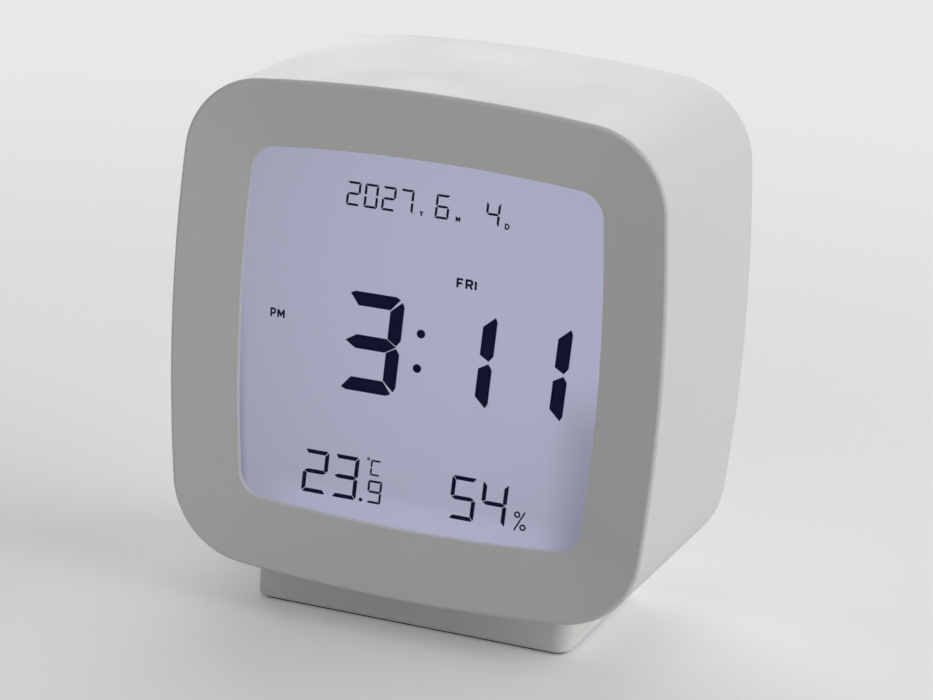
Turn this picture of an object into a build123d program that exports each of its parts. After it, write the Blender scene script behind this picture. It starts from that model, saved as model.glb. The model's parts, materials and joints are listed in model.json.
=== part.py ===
from build123d import *
import math
import os

# A small square desk clock that also shows the room's temperature and humidity.
# Millimetres. The origin is the middle of the base, on the table; the face looks
# towards -Y and +Z is up. "Depth" is measured backwards from the front rim.

# Body
body_width = 82.6
body_height = 82.6
body_depth = 46.0
side_bulge = 2.52
corner_radius = 14.0
wall = 2.0
front_draw_in = 0.5
front_edge_radius = 0.7
rear_edge_radius = 3.6
cut_overrun = 1.0

# Dished face and display window
rim_land = 0.5
dish_depth = 2.25
window_width = 60.05
window_height = 59.75
window_bulge = 1.42
window_radius = 4.35
window_wall = 1.0

# Base that the body is pressed down on
base_width = 54.0
base_setback = 6.0
base_corner_radius = 2.8
base_edge_radius = 0.5
base_show = 5.9
base_top = 9.2
base_wall = 2.0
pad_thickness = 0.4
pad_inset = 1.0
base_slot_gap = 0.45
press_travel = 1.0

# Guide posts of the base and what holds the base on
post_spacing = 36.0
post_radius = 3.0
post_running_gap = 0.08
washer_radius = 4.6
washer_thickness = 0.8
stop_gap = 0.3
screw_gap = 0.05
small_shank_radius = 1.2
small_head_radius = 2.3
small_head_height = 1.5
small_screw_length = 7.0

# Guide plate inside the body, above the base
plate_thickness = 1.8
plate_clear = 2.8
plate_side_room = 9.3
plate_front_gap = 3.15
plate_back_gap = 0.5
plate_corner_radius = 3.0
plate_screw_inset = 3.2
plate_screw_side_inset = 2.3
plate_boss_radius = 2.4
plate_screw_length = 5.5

# Springs that lift the body off its base
press_wire_radius = 0.35
press_coil_radius = 4.3
press_turns = 5

# Switch that the base works when the body is pressed down
actuator_radius = 2.5
actuator_gap = 1.2
press_board_width = 18.0
press_board_depth = 9.0
press_board_thickness = 1.2
press_board_lift = 6.4
press_post_radius = 2.2
press_post_spacing = 13.0
switch_side = 6.0
switch_height = 3.2
plunger_radius = 1.6
plunger_gap = 0.1
plunger_spare = 0.3
plunger_root = 0.3
plunger_bore = 1.7

# Display, front to back
tape_thickness = 0.1
tape_window_gap = 0.6
lens_lap = 1.775
lens_radius = 4.0
lens_thickness = 1.0
polariser_thickness = 0.15
glass_thickness = 0.6
glass_inset = 0.3
glass_corner = 0.8
sheet_gap = 0.05
cell_gap = 0.2
mark_thickness = 0.1
seal_width = 0.5
glass_ledge = 3.1
polariser_inset = 0.3
frame_lap = 0.1
frame_depth = 3.5
frame_wall = 0.8
frame_back = 0.6
frame_radius = 1.0
diffuser_thickness = 0.25
guide_thickness = 2.3
reflector_thickness = 0.15
led_count = 3
led_width = 3.0
led_height = 1.6
led_thickness = 0.9
led_strip_thickness = 0.2
led_strip_width = 2.0
zebra_end_gap = 2.5
zebra_height = 2.0

# Numbers on the display: right edge of the last digit at mid height, pitch between
# digits, middle height, digit height and width, stroke and gap between strokes
lean_share = 0.06
time_right = 24.05
time_pitch = 12.3
hour_right = -3.7
time_middle = -1.15
time_height = 16.2
time_digit_width = 9.9
time_stroke = 2.25
time_gap = 0.2
colon_x = -0.5
colon_drop = 5.65
colon_radius = 0.7
colon_middle = -1.125

date_right = -2.8
date_pitch = 2.95
month_right = 3.13
day_right = 11.4
date_middle = 22.37
date_height = 3.85
date_digit_width = 2.27
date_stroke = 0.36
date_gap = 0.18

climate_middle = -23.75
climate_height = 7.2
climate_digit_width = 4.22
climate_stroke = 0.66
climate_gap = 0.18
climate_pitch = 5.2
degrees_right = -9.65
humidity_right = 15.57
point_x = -8.97
point_radius = 0.3
tenth_right = -5.5
tenth_middle = -25.41
tenth_height = 3.82
tenth_digit_width = 2.39
tenth_stroke = 0.35
tenth_gap = 0.14
scale_right = -5.83
scale_middle = -21.41
scale_height = 2.62
scale_digit_width = 1.72
scale_stroke = 0.28
scale_gap = 0.1
degree_x = -7.95
degree_z = -20.05
degree_radius = 0.24
degree_stroke = 0.15

# Words on the display: left edge, baseline, capital height and stroke
weekday_left = 5.03
weekday_base = 9.92
weekday_height = 1.68
weekday_stroke = 0.33
noon_left = -25.95
noon_base = 0.48
noon_height = 1.57
noon_stroke = 0.28
unit_base = 20.32
unit_height = 0.95
unit_stroke = 0.21
year_unit_left = -1.72
month_unit_left = 4.25
day_unit_left = 12.3
percent_left = 16.95
percent_base = -27.4
percent_width = 1.95
percent_height = 3.2
percent_stroke = 0.25

# Main board behind the display
board_side_margin = 2.4
board_foot_margin = 0.4
board_height = 62.0
board_radius = 8.0
board_thickness = 1.6
board_boss_gap = 0.4
board_screw_z = 20.0
board_boss_radius = 2.3
board_screw_length = 4.6
chip_radius = 6.0
chip_height = 1.4
chip_x = -8.0
chip_z = 2.0
crystal_radius = 1.0
crystal_length = 6.2
crystal_x = 6.0
crystal_z = 8.0
capacitor_radius = 2.0
capacitor_height = 3.4
capacitor_spacing = 5.5
capacitor_x = -20.0
capacitor_z = -14.0
connector_height = 3.0
connector_depth = 3.0
connector_margin = 1.0
battery_plug_x = 14.0
battery_plug_z = -4.0
button_plug_x = 0.0
button_plug_z = 12.0
sensor_plug_x = 0.0
sensor_plug_z = -18.5
zebra_inset = 0.45

# Rear cover
rear_lip_depth = 4.2
rear_opening_inset = 4.2
cover_gap = 0.15
cover_recess = 0.8
cover_thickness = 3.0
cover_screw_inset = 13.9
cover_boss_radius = 3.4
cover_boss_start = 16.0
cover_web = 2.4
cover_head_radius = 2.6
cover_head_depth = 1.5
cover_shank_radius = 1.3
cover_screw_length = 9.0

# Battery compartment: two AAA cells
cell_radius = 5.25
cell_length = 44.5
nub_radius = 1.9
nub_length = 0.9
cell_edge_radius = 0.5
cell_clearance = 0.3
contact_room = 8.1
pocket_middle = -4.0
pocket_wall = 1.5
contact_thickness = 0.4
contact_width = 8.0
dimple_radius = 1.6
contact_wire_radius = 0.3
contact_coil_radius = 3.0
contact_turns = 4
contact_reach = 9.0
dimple_height = 1.2
dimple_taper = 20.0
tail_width = 3.0
tail_out = 1.4
tail_gap = 0.1

# Battery door
door_seat_depth = 2.5
door_margin = 1.8
door_gap = 0.3
pin_radius = 0.6
pin_length = 1.6
pin_gap = 0.06
groove_width = 0.8
groove_depth = 0.5
groove_length = 14.0
groove_pitch = 1.8
groove_count = 3
nail_notch_width = 12.0
nail_notch_height = 2.2

# Buttons above the battery door
button_count = 3
button_pitch = 13.0
button_row = 20.5
button_length = 9.0
button_height = 4.4
button_gap = 0.25
button_pressed_proud = 0.1
button_travel = 0.5
button_edge_radius = 0.5
flange_margin = 1.0
flange_thickness = 1.0
flange_gap = 0.25
stem_radius = 1.5
stem_length = 0.6
button_mark_length = 2.6
button_mark_width = 0.7
button_mark_depth = 0.35
button_board_width = 49.0
button_board_height = 10.0
button_board_thickness = 1.2
button_boss_radius = 2.5
button_boss_x = 21.4
button_screw_length = 5.0

# Sensor behind the vents
vent_count = 7
vent_pitch = 4.0
vent_width = 1.6
vent_height = 7.0
vent_row = -26.0
sensor_board_width = 14.0
sensor_board_height = 9.0
sensor_board_thickness = 1.0
sensor_post_radius = 1.1
sensor_post_length = 4.0
sensor_post_x = 6.0
sensor_pin_radius = 0.6
sensor_pin_gap = 0.05
sensor_chip_side = 3.0
sensor_chip_height = 1.1

# Leads inside the body
lead_radius = 0.55
lead_spacing = 2.0
lead_bend = 2.6
battery_lead_count = 2
button_lead_count = 4
sensor_lead_count = 3
press_lead_count = 2
lead_turn_share = 0.5
sensor_lead_gap = 2.0

rearward = (0, 1, 0)
forward = (0, -1, 0)
downward = (0, 0, -1)

face_height = base_show + body_height / 2
floor_depth = dish_depth + window_wall
base_depth = body_depth - 2 * base_setback


def at_depth(depth):
    """Plane parallel to the face, a depth behind the front rim, centred on the face."""
    return Plane(origin=(0, depth - body_depth / 2, face_height), x_dir=(1, 0, 0), z_dir=forward)


def at_height(height):
    """Level plane above the table, centred on the base."""
    return Plane.XY.offset(height)


def bulged_square(plane, width, height, bulge, radius):
    """Rounded square whose four sides bow outwards."""
    corner_x = width / 2 - bulge
    corner_z = height / 2 - bulge
    with BuildSketch(plane) as outline:
        with BuildLine():
            right = ThreePointArc((corner_x, -corner_z), (width / 2, 0), (corner_x, corner_z))
            top = ThreePointArc(right @ 1, (0, height / 2), (-corner_x, corner_z))
            left = ThreePointArc(top @ 1, (-width / 2, 0), (-corner_x, -corner_z))
            ThreePointArc(left @ 1, (0, -height / 2), right @ 0)
        make_face()
        fillet(outline.vertices(), radius)
    return outline.sketch


def body_outline(plane, inset):
    """The body's outline, drawn in by an inset."""
    width = body_width - 2 * inset
    height = body_height - 2 * inset
    return bulged_square(plane, width, height, side_bulge, corner_radius - inset)


def window_outline(plane, outset=0):
    """The display window's outline, let out by an outset."""
    width = window_width + 2 * outset
    height = window_height + 2 * outset
    return bulged_square(plane, width, height, window_bulge, window_radius + outset)


# Sides of the display's layers
lens_side = window_width + 2 * lens_lap
glass_side = lens_side - 2 * glass_inset
polariser_side = glass_side - 2 * polariser_inset
frame_side = lens_side + 2 * frame_lap

# Depths of the display's layers, front to back
lens_front = floor_depth + tape_thickness
polariser_front = lens_front + lens_thickness + sheet_gap
glass_front = polariser_front + polariser_thickness + sheet_gap
crystal_front = glass_front + glass_thickness
mark_front = crystal_front + (cell_gap - mark_thickness) / 2
rear_glass_front = crystal_front + cell_gap
rear_polariser_front = rear_glass_front + glass_thickness + sheet_gap
frame_front = rear_polariser_front + polariser_thickness + sheet_gap
board_front = frame_front + frame_depth
board_back = board_front + board_thickness

# Depths and heights of the rear cover, the guide plate and the base
cover_back = body_depth - cover_recess
cover_front = cover_back - cover_thickness
plate_half_width = body_width / 2 - plate_side_room
plate_front = board_back + plate_front_gap
plate_back = body_depth - rear_lip_depth - plate_back_gap
plate_bottom = base_top + press_travel + plate_clear
plate_top = plate_bottom + plate_thickness
post_top = plate_top + stop_gap
base_floor = pad_thickness + base_wall
base_middle_depth = body_depth / 2

# Places of the screws, counted from the face's centre
board_screw_x = frame_side / 2 + board_boss_gap + board_boss_radius
board_screws = [(x, z) for x in (-board_screw_x, board_screw_x) for z in (-board_screw_z, board_screw_z)]
cover_screw_x = body_width / 2 - cover_screw_inset
cover_screw_z = body_height / 2 - cover_screw_inset
cover_screws = [(x, z) for x in (-cover_screw_x, cover_screw_x) for z in (-cover_screw_z, cover_screw_z)]
plate_screw_x = plate_half_width - plate_screw_side_inset
plate_screw_depths = (plate_front + plate_screw_inset, plate_back - plate_screw_inset)
plate_screws = [
    (x, depth - base_middle_depth)
    for x in (-plate_screw_x, plate_screw_x)
    for depth in plate_screw_depths
]
press_posts = [(-press_post_spacing / 2, 0), (press_post_spacing / 2, 0)]
guide_posts = [(-post_spacing / 2, 0), (post_spacing / 2, 0)]


def pan_screw(plane, places, head_radius, head_height, shank_radius, length):
    """Pan head screws with a cross recess; the heads stand out of the plane."""
    recess_depth = head_height / 2
    recess_width = head_radius / 3
    with BuildPart() as screws:
        with BuildSketch(plane):
            with Locations(*places):
                Circle(head_radius)
        extrude(amount=head_height)
        fillet(screws.faces().group_by(Axis(plane.origin, plane.z_dir))[-1].edges(), head_height / 3)
        with BuildSketch(plane):
            with Locations(*places):
                Circle(shank_radius)
        extrude(amount=-length)
        with BuildSketch(plane.offset(head_height)):
            with Locations(*places):
                Rectangle(head_radius, recess_width)
                Rectangle(recess_width, head_radius)
        extrude(amount=-recess_depth, mode=Mode.SUBTRACT)
    return screws.part


def helix_point(foot, axis_x, axis_y, axis, radius, rise, quarter):
    """A point on a coil, counted in quarter turns from its foot."""
    angle = quarter * math.pi / 2
    across = axis_x * (radius * math.cos(angle)) + axis_y * (radius * math.sin(angle))
    return foot + across + axis * (rise * quarter)


def helix_heading(axis_x, axis_y, axis, radius, rise, quarter):
    """The coil's direction at a quarter turn."""
    angle = quarter * math.pi / 2
    run = radius * math.pi / 2
    along = axis_y * (run * math.cos(angle)) - axis_x * (run * math.sin(angle))
    return (along + axis * rise).normalized()


def coil_spring(plane, radius, wire_radius, height, turns):
    """Compression coil on biarcs of a quarter turn, standing on a plane."""
    quarters = 4 * turns
    rise = (height - 2 * wire_radius) / quarters
    foot = plane.origin + plane.z_dir * wire_radius
    frame = (plane.x_dir, plane.y_dir, plane.z_dir)
    edges = []
    for quarter in range(quarters):
        start = helix_point(foot, *frame, radius, rise, quarter)
        end = helix_point(foot, *frame, radius, rise, quarter + 1)
        leave = helix_heading(*frame, radius, rise, quarter)
        arrive = helix_heading(*frame, radius, rise, quarter + 1)
        span = end - start
        lean = span.dot(leave + arrive)
        bend = 2 * (1 - leave.dot(arrive))
        reach = (math.sqrt(lean * lean + bend * span.dot(span)) - lean) / bend
        joint = (start + end + (leave - arrive) * reach) / 2
        edges.append(Edge.make_tangent_arc(start, leave, joint))
        edges.append(Edge.make_tangent_arc(joint, edges[-1] % 1, end))
    path = Wire(edges)
    with BuildPart() as coil:
        with BuildSketch(Plane(origin=path @ 0, z_dir=path % 0)):
            Circle(wire_radius)
        sweep(path=path)
    return coil.part


def lead(points, bend):
    """Insulated wire along straight runs with rounded turns."""
    with BuildPart() as wire:
        with BuildLine() as route:
            FilletPolyline(*points, radius=bend)
        with BuildSketch(Plane(origin=route.wire() @ 0, z_dir=route.wire() % 0)):
            Circle(lead_radius)
        sweep()
    return wire.part


# Hollow of the body, with the bosses left standing in it
with BuildPart() as hollow:
    hollow_depth = body_depth - floor_depth - rear_lip_depth
    extrude(body_outline(at_depth(floor_depth), wall), amount=hollow_depth, dir=rearward)
    rear_hole = body_outline(at_depth(body_depth - rear_lip_depth), rear_opening_inset)
    extrude(rear_hole, amount=rear_lip_depth + cut_overrun, dir=rearward)
    with BuildSketch(at_depth(floor_depth)):
        with Locations(*board_screws):
            Circle(board_boss_radius)
    extrude(amount=board_front - floor_depth, dir=rearward, mode=Mode.SUBTRACT)
    for x, z in cover_screws:
        turn = 0 if x > 0 else 180
        with BuildSketch(at_depth(cover_boss_start)):
            with Locations(Location((x, z), turn)):
                Circle(cover_boss_radius)
                Rectangle(cover_screw_inset, cover_web, align=(Align.MIN, Align.CENTER))
        extrude(amount=cover_front - cover_boss_start, dir=rearward, mode=Mode.SUBTRACT)
    with BuildSketch(at_height(plate_bottom)):
        with Locations(*plate_screws):
            Circle(plate_boss_radius)
    extrude(amount=plate_bottom - base_show, dir=downward, mode=Mode.SUBTRACT)

# Front housing: dished face, drafted sides and rounded rear rim in one moulding
with BuildPart() as front_housing:
    side_sections = [body_outline(at_depth(0), front_draw_in), body_outline(at_depth(body_depth), 0)]
    loft(side_sections, ruled=True)
    fillet(front_housing.faces().sort_by(Axis.Y)[0].edges(), front_edge_radius)
    fillet(front_housing.faces().sort_by(Axis.Y)[-1].edges(), rear_edge_radius)
    rim = body_outline(at_depth(0), front_draw_in + rim_land)
    dish_sections = [rim, window_outline(at_depth(dish_depth))]
    loft(dish_sections, ruled=True, mode=Mode.SUBTRACT)
    extrude(window_outline(at_depth(0)), amount=floor_depth + cut_overrun, dir=rearward, mode=Mode.SUBTRACT)
    add(hollow.part, mode=Mode.SUBTRACT)
    with BuildSketch(at_height(0)):
        RectangleRounded(
            base_width + 2 * base_slot_gap,
            base_depth + 2 * base_slot_gap,
            base_corner_radius + base_slot_gap,
        )
    extrude(amount=plate_bottom, mode=Mode.SUBTRACT)
    with BuildSketch(at_depth(board_front)):
        with Locations(*board_screws):
            Circle(small_shank_radius + screw_gap)
    extrude(amount=board_screw_length - board_thickness, dir=forward, mode=Mode.SUBTRACT)
    with BuildSketch(at_depth(cover_front)):
        with Locations(*cover_screws):
            Circle(cover_shank_radius + screw_gap)
    extrude(amount=cover_screw_length, dir=forward, mode=Mode.SUBTRACT)
    with BuildSketch(at_height(plate_bottom)):
        with Locations(*plate_screws):
            Circle(small_shank_radius + screw_gap)
    extrude(amount=plate_screw_length - plate_thickness, dir=downward, mode=Mode.SUBTRACT)

# Base: a hollow plinth whose posts guide the body up and down
plunger_proud = press_travel + plunger_spare
press_board_bottom = plate_top + press_board_lift
press_switch_bottom = press_board_bottom - switch_height
actuator_top = press_switch_bottom - plunger_proud

with BuildPart() as base:
    with BuildSketch(at_height(pad_thickness)):
        RectangleRounded(base_width, base_depth, base_corner_radius)
    extrude(amount=base_top - pad_thickness)
    fillet(base.faces().sort_by(Axis.Z)[0].edges(), base_edge_radius)
    with BuildSketch(at_height(base_floor)):
        RectangleRounded(
            base_width - 2 * base_wall,
            base_depth - 2 * base_wall,
            base_corner_radius - base_wall / 2,
        )
    extrude(amount=base_top, mode=Mode.SUBTRACT)
    with BuildSketch(at_height(base_floor)):
        with Locations(*guide_posts):
            Circle(post_radius)
    extrude(amount=post_top - base_floor)
    with BuildSketch(at_height(base_floor)):
        Circle(actuator_radius)
    extrude(amount=actuator_top - base_floor)
    with BuildSketch(at_height(post_top)):
        with Locations(*guide_posts):
            Circle(small_shank_radius + screw_gap)
    extrude(amount=washer_thickness - small_screw_length, mode=Mode.SUBTRACT)

with BuildPart() as base_pad:
    with BuildSketch():
        RectangleRounded(
            base_width - 2 * pad_inset, base_depth - 2 * pad_inset, base_corner_radius - pad_inset
        )
    extrude(amount=pad_thickness)

with BuildPart() as base_washers:
    with BuildSketch(at_height(post_top)):
        with Locations(*guide_posts):
            Circle(washer_radius)
            Circle(small_shank_radius + screw_gap, mode=Mode.SUBTRACT)
    extrude(amount=washer_thickness)

base_screws = pan_screw(
    at_height(post_top + washer_thickness),
    guide_posts,
    small_head_radius,
    small_head_height,
    small_shank_radius,
    small_screw_length,
)

with BuildPart() as press_springs:
    for x, y in guide_posts:
        seat = Plane(origin=(x, y, base_floor))
        spring_height = plate_bottom - base_floor - screw_gap
        add(coil_spring(seat, press_coil_radius, press_wire_radius, spring_height, press_turns))

with BuildPart() as press_plunger:
    with BuildSketch(at_height(actuator_top)):
        Circle(plunger_radius)
    extrude(amount=plunger_proud + plunger_root)

# Guide plate: slides on the base's posts and carries the press switch
with BuildPart() as guide_plate:
    plate_length = plate_back - plate_front
    plate_middle = (plate_front + plate_back) / 2 - base_middle_depth
    with BuildSketch(at_height(plate_bottom)):
        with Locations((0, plate_middle)):
            RectangleRounded(2 * plate_half_width, plate_length, plate_corner_radius)
        with Locations(*guide_posts):
            Circle(post_radius + post_running_gap, mode=Mode.SUBTRACT)
        with Locations(*plate_screws):
            Circle(small_shank_radius + screw_gap, mode=Mode.SUBTRACT)
        Circle(actuator_radius + actuator_gap, mode=Mode.SUBTRACT)
    extrude(amount=plate_thickness)
    with BuildSketch(at_height(plate_top)):
        with Locations(*press_posts):
            Circle(press_post_radius)
    extrude(amount=press_board_lift)
    with BuildSketch(at_height(press_board_bottom)):
        with Locations(*press_posts):
            Circle(small_shank_radius + screw_gap)
    extrude(amount=press_board_thickness - plate_screw_length, mode=Mode.SUBTRACT)

guide_plate_screws = pan_screw(
    at_height(plate_top),
    plate_screws,
    small_head_radius,
    small_head_height,
    small_shank_radius,
    plate_screw_length,
)

with BuildPart() as press_board:
    with BuildSketch(at_height(press_board_bottom)):
        Rectangle(press_board_width, press_board_depth)
        with Locations(*press_posts):
            Circle(small_shank_radius + screw_gap, mode=Mode.SUBTRACT)
    extrude(amount=press_board_thickness)

with BuildPart() as press_switch:
    with BuildSketch(at_height(press_switch_bottom)):
        Rectangle(switch_side, switch_side)
    extrude(amount=switch_height)
    with BuildSketch(at_height(press_switch_bottom)):
        Circle(plunger_radius + plunger_gap)
    extrude(amount=plunger_bore, mode=Mode.SUBTRACT)

press_board_screws = pan_screw(
    at_height(press_board_bottom + press_board_thickness),
    press_posts,
    small_head_radius,
    small_head_height,
    small_shank_radius,
    plate_screw_length,
)

# Display window and the liquid crystal cell behind it
with BuildPart() as display_lens:
    with BuildSketch(at_depth(lens_front)):
        RectangleRounded(lens_side, lens_side, lens_radius)
    extrude(amount=lens_thickness, dir=rearward)

with BuildPart() as lens_tape:
    with BuildSketch(at_depth(floor_depth)):
        RectangleRounded(lens_side, lens_side, lens_radius)
        add(window_outline(Plane.XY, tape_window_gap), mode=Mode.SUBTRACT)
    extrude(amount=tape_thickness, dir=rearward)

with BuildPart() as front_polariser:
    with BuildSketch(at_depth(polariser_front)):
        Rectangle(polariser_side, polariser_side)
    extrude(amount=polariser_thickness, dir=rearward)

with BuildPart() as front_glass:
    with BuildSketch(at_depth(glass_front)):
        with Locations((0, -glass_ledge / 2)):
            RectangleRounded(glass_side, glass_side + glass_ledge, glass_corner)
    extrude(amount=glass_thickness, dir=rearward)

with BuildPart() as edge_seal:
    with BuildSketch(at_depth(crystal_front)):
        Rectangle(glass_side, glass_side)
        Rectangle(glass_side - 2 * seal_width, glass_side - 2 * seal_width, mode=Mode.SUBTRACT)
    extrude(amount=cell_gap, dir=rearward)

with BuildPart() as rear_glass:
    with BuildSketch(at_depth(rear_glass_front)):
        Rectangle(glass_side, glass_side)
    extrude(amount=glass_thickness, dir=rearward)

with BuildPart() as rear_polariser:
    with BuildSketch(at_depth(rear_polariser_front)):
        Rectangle(polariser_side, polariser_side)
    extrude(amount=polariser_thickness, dir=rearward)


# Strokes of a seven segment digit; each tip's place is a share of the stroke
corner_cut_share = 0.66
tip_out_share = 0.33
tip_drop_share = 0.17
mid_tip_share = 0.3
digit_strokes = {
    "0": "abcdef",
    "1": "bc",
    "2": "abged",
    "3": "abgcd",
    "4": "fgbc",
    "5": "afgcd",
    "6": "afgedc",
    "7": "abc",
    "9": "abcdfg",
    "C": "afed",
}


def stroke_shapes(height, width, stroke, gap):
    """Outlines of the seven strokes; the digit's right edge at mid height is the zero."""
    top = height / 2
    cut = corner_cut_share * stroke
    out = tip_out_share * stroke
    drop = tip_drop_share * stroke
    mid = mid_tip_share * stroke
    half = stroke / 2
    upper = [(-cut, top), (-out, top - drop), (-stroke, top - stroke)]
    right = [
        (0, top - cut),
        (-drop, top - out),
        (-stroke, top - stroke - gap),
        (-stroke, half),
        (-mid, gap),
        (0, half),
    ]
    middle = [(-mid, 0), (-stroke - half * gap / stroke - gap / 2, half)]

    def across(points):
        return [(-width - x, z) for x, z in reversed(points)]

    def below(points):
        return [(x, -z) for x, z in reversed(points)]

    bar = middle + across(middle)
    return {
        "a": upper + across(upper),
        "b": right,
        "c": below(right),
        "d": below(upper + across(upper)),
        "e": across(below(right)),
        "f": across(right),
        "g": bar + [(x, -z) for x, z in reversed(bar) if z],
    }


def draw_digits(text, right_edge, pitch, middle, size):
    """Leaning digits in the current sketch, counted back from the last one."""
    shapes = stroke_shapes(*size)
    for place, digit in enumerate(reversed(text)):
        edge = right_edge - place * pitch
        for name in digit_strokes[digit]:
            Polygon(*[(edge + x + lean_share * z, middle + z) for x, z in shapes[name]])


time_size = (time_height, time_digit_width, time_stroke, time_gap)
date_size = (date_height, date_digit_width, date_stroke, date_gap)
climate_size = (climate_height, climate_digit_width, climate_stroke, climate_gap)
tenth_size = (tenth_height, tenth_digit_width, tenth_stroke, tenth_gap)
scale_size = (scale_height, scale_digit_width, scale_stroke, scale_gap)

with BuildPart() as time_marks:
    with BuildSketch(at_depth(mark_front)):
        draw_digits("11", time_right, time_pitch, time_middle, time_size)
        draw_digits("3", hour_right, time_pitch, time_middle, time_size)
        for rise in (-colon_drop / 2, colon_drop / 2):
            with Locations((colon_x + lean_share * rise, colon_middle + rise)):
                Circle(colon_radius)
    extrude(amount=mark_thickness, dir=rearward)

with BuildPart() as date_marks:
    with BuildSketch(at_depth(mark_front)):
        draw_digits("2027", date_right, date_pitch, date_middle, date_size)
        draw_digits("6", month_right, date_pitch, date_middle, date_size)
        draw_digits("4", day_right, date_pitch, date_middle, date_size)
    extrude(amount=mark_thickness, dir=rearward)

with BuildPart() as climate_marks:
    with BuildSketch(at_depth(mark_front)):
        draw_digits("23", degrees_right, climate_pitch, climate_middle, climate_size)
        draw_digits("54", humidity_right, climate_pitch, climate_middle, climate_size)
        draw_digits("9", tenth_right, climate_pitch, tenth_middle, tenth_size)
        draw_digits("C", scale_right, climate_pitch, scale_middle, scale_size)
        with Locations((point_x, climate_middle - climate_height / 2 + point_radius)):
            Circle(point_radius)
        with Locations((degree_x, degree_z)):
            Circle(degree_radius)
            Circle(degree_radius - degree_stroke, mode=Mode.SUBTRACT)
    extrude(amount=mark_thickness, dir=rearward)

# Pen paths of the plain capitals, in shares of a letter's width and height,
# and each letter's width as a share of its height
letter_path_shares = {
    "F": [[(0, 0), (0, 1), (1, 1)], [(0, 0.52), (0.85, 0.52)]],
    "R": [[(0, 0), (0, 1), (0.7, 1), (1, 0.86), (1, 0.6), (0.7, 0.46), (0, 0.46)], [(0.6, 0.46), (1, 0)]],
    "I": [[(0, 0), (0, 1)]],
    "P": [[(0, 0), (0, 1), (0.7, 1), (1, 0.85), (1, 0.57), (0.7, 0.42), (0, 0.42)]],
    "M": [[(0, 0), (0, 1)], [(0, 1), (0.5, 0.3), (1, 1)], [(1, 1), (1, 0)]],
    "Y": [[(0, 1), (0.5, 0.58), (1, 1)], [(0.5, 0.58), (0.5, 0)]],
    "D": [[(0, 0), (0, 1), (0.6, 1), (1, 0.7), (1, 0.3), (0.6, 0), (0, 0)]],
}
letter_width_share = {"F": 0.72, "R": 0.74, "I": 0, "P": 0.6, "M": 0.8, "Y": 0.66, "D": 0.8}
letter_gap_share = 0.165
percent_ring_share = 0.165
percent_ring_place_shares = [(0.24, 0.82), (0.76, 0.2)]
percent_slash_shares = [(0.04, 0), (0.9, 1)]


def word_sketch(plane, text, left, base, height, pen):
    """Plain capitals drawn with one pen, standing on a baseline."""
    with BuildSketch(plane) as word:
        for letter in text:
            width = letter_width_share[letter] * height
            for path in letter_path_shares[letter]:
                with BuildLine():
                    Polyline(
                        *[
                            (left + pen / 2 + x * max(width - pen, 0), base + pen / 2 + z * (height - pen))
                            for x, z in path
                        ]
                    )
                trace(line_width=pen)
            left += max(width, pen) + letter_gap_share * height
    return word.sketch


with BuildPart() as word_marks:
    mark_plane = at_depth(mark_front)
    words = [
        word_sketch(mark_plane, "FRI", weekday_left, weekday_base, weekday_height, weekday_stroke),
        word_sketch(mark_plane, "PM", noon_left, noon_base, noon_height, noon_stroke),
        word_sketch(mark_plane, "Y", year_unit_left, unit_base, unit_height, unit_stroke),
        word_sketch(mark_plane, "M", month_unit_left, unit_base, unit_height, unit_stroke),
        word_sketch(mark_plane, "D", day_unit_left, unit_base, unit_height, unit_stroke),
    ]
    for word in words:
        extrude(word, amount=mark_thickness, dir=rearward)
    with BuildSketch(mark_plane):
        ring_radius = percent_ring_share * percent_height
        for x, z in percent_ring_place_shares:
            with Locations((percent_left + x * percent_width, percent_base + z * percent_height)):
                Circle(ring_radius)
                Circle(ring_radius - percent_stroke, mode=Mode.SUBTRACT)
        with BuildLine():
            Polyline(
                *[
                    (percent_left + x * percent_width, percent_base + z * percent_height)
                    for x, z in percent_slash_shares
                ]
            )
        trace(line_width=percent_stroke)
    extrude(amount=mark_thickness, dir=rearward)

# Backlight: a white frame that holds the diffuser, the light guide, its lamps and mirror film
pocket_side = frame_side - 2 * frame_wall
sheet_side = pocket_side - 2 * sheet_gap
diffuser_front = frame_front + sheet_gap
guide_front = diffuser_front + diffuser_thickness
reflector_front = guide_front + guide_thickness
lamp_room = led_thickness + led_strip_thickness + 2 * sheet_gap
guide_right = sheet_side / 2 - lamp_room
lamp_middle = guide_front + guide_thickness / 2

with BuildPart() as backlight_frame:
    with BuildSketch(at_depth(frame_front)):
        RectangleRounded(frame_side, frame_side, frame_radius)
    extrude(amount=frame_depth, dir=rearward)
    with BuildSketch(at_depth(frame_front)):
        Rectangle(pocket_side, pocket_side)
    extrude(amount=frame_depth - frame_back, dir=rearward, mode=Mode.SUBTRACT)

with BuildPart() as diffuser_film:
    with BuildSketch(at_depth(diffuser_front)):
        Rectangle(sheet_side, sheet_side)
    extrude(amount=diffuser_thickness, dir=rearward)

with BuildPart() as light_guide:
    with BuildSketch(at_depth(guide_front)):
        with Locations((-lamp_room / 2, 0)):
            Rectangle(sheet_side - lamp_room, sheet_side)
    extrude(amount=guide_thickness, dir=rearward)

with BuildPart() as reflector_film:
    with BuildSketch(at_depth(reflector_front)):
        Rectangle(sheet_side, sheet_side)
    extrude(amount=reflector_thickness, dir=rearward)

with BuildPart() as backlight_lamps:
    with BuildSketch(at_depth(lamp_middle - led_height / 2)):
        with Locations((guide_right + sheet_gap + led_thickness / 2, 0)):
            with GridLocations(0, sheet_side / led_count, 1, led_count):
                Rectangle(led_thickness, led_width)
    extrude(amount=led_height, dir=rearward)

with BuildPart() as lamp_strip:
    with BuildSketch(at_depth(lamp_middle - led_strip_width / 2)):
        with Locations((sheet_side / 2 - led_strip_thickness / 2, 0)):
            Rectangle(led_strip_thickness, sheet_side - led_width)
    extrude(amount=led_strip_width, dir=rearward)

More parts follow.
